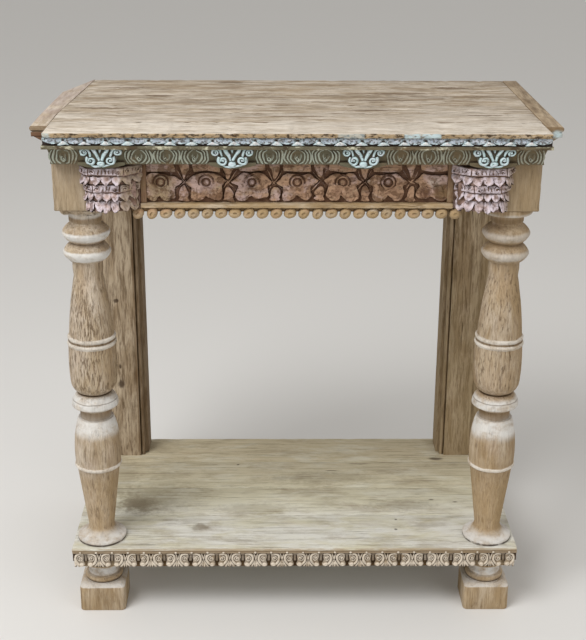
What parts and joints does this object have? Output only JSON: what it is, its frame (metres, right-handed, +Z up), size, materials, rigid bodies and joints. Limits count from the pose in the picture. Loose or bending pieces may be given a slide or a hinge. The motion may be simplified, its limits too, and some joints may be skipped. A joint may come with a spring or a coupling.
{
  "type": "pier table",
  "caption": "Carved and painted wooden pier table with a boarded top, lobed cornice, rosette frieze, turned front legs, flat rear posts and a low boarded shelf on block feet",
  "frame": {"origin": "on the floor, under the middle of the top", "axes": "+X to the right seen from the front, +Y from the front to the back, +Z up"},
  "size_m": [0.825, 0.464, 0.86],
  "materials": {
    "top_wood": "weathered bare wood, matte",
    "petal_paint": "worn duck-egg paint, matte",
    "cornice_paint": "worn grey-green paint with pale aqua highlights, matte",
    "leg_wood": "sun-bleached wood with traces of white, matte",
    "boss_paint": "worn pale pink paint, matte",
    "frieze_wood": "carved brown wood with traces of pink, matte",
    "bead_wood": "carved pale wood, matte",
    "post_wood": "weathered wood, matte",
    "shelf_wood": "whitewashed wood, matte",
    "edging_wood": "carved pale wood, matte",
    "foot_wood": "weathered wood with traces of white, matte",
    "frame_wood": "plain unfinished wood, matte"
  },
  "bodies": {
    "root": {"top_board_front": "top_wood", "top_board_second": "top_wood", "top_board_third": "top_wood", "top_board_fourth": "top_wood", "top_board_back": "top_wood", "top_end_left": "top_wood", "top_end_right": "top_wood", "petal_moulding": "petal_paint", "cornice": "cornice_paint", "front_leg_left": "leg_wood", "front_leg_right": "leg_wood", "petal_boss_left": "boss_paint", "petal_boss_right": "boss_paint", "frieze_panel": "frieze_wood", "frieze_stile_left": "frieze_wood", "frieze_stile_right": "frieze_wood", "frieze_rail": "frieze_wood", "bead_strip": "bead_wood", "rear_post_left": "post_wood", "rear_post_right": "post_wood", "shelf_board_front": "shelf_wood", "shelf_board_second": "shelf_wood", "shelf_board_third": "shelf_wood", "shelf_board_back": "shelf_wood", "shelf_edging": "edging_wood", "front_foot_left": "foot_wood", "front_foot_right": "foot_wood", "front_rail": "frame_wood", "back_rail": "frame_wood", "side_rail_left": "frame_wood", "side_rail_right": "frame_wood", "top_batten_left": "frame_wood", "top_batten_right": "frame_wood", "shelf_bearer_left": "frame_wood", "shelf_bearer_right": "frame_wood", "shelf_rail": "frame_wood", "rear_foot_left": "frame_wood", "rear_foot_right": "frame_wood", "standing_dowels": "frame_wood"}
  },
  "joints": []
}
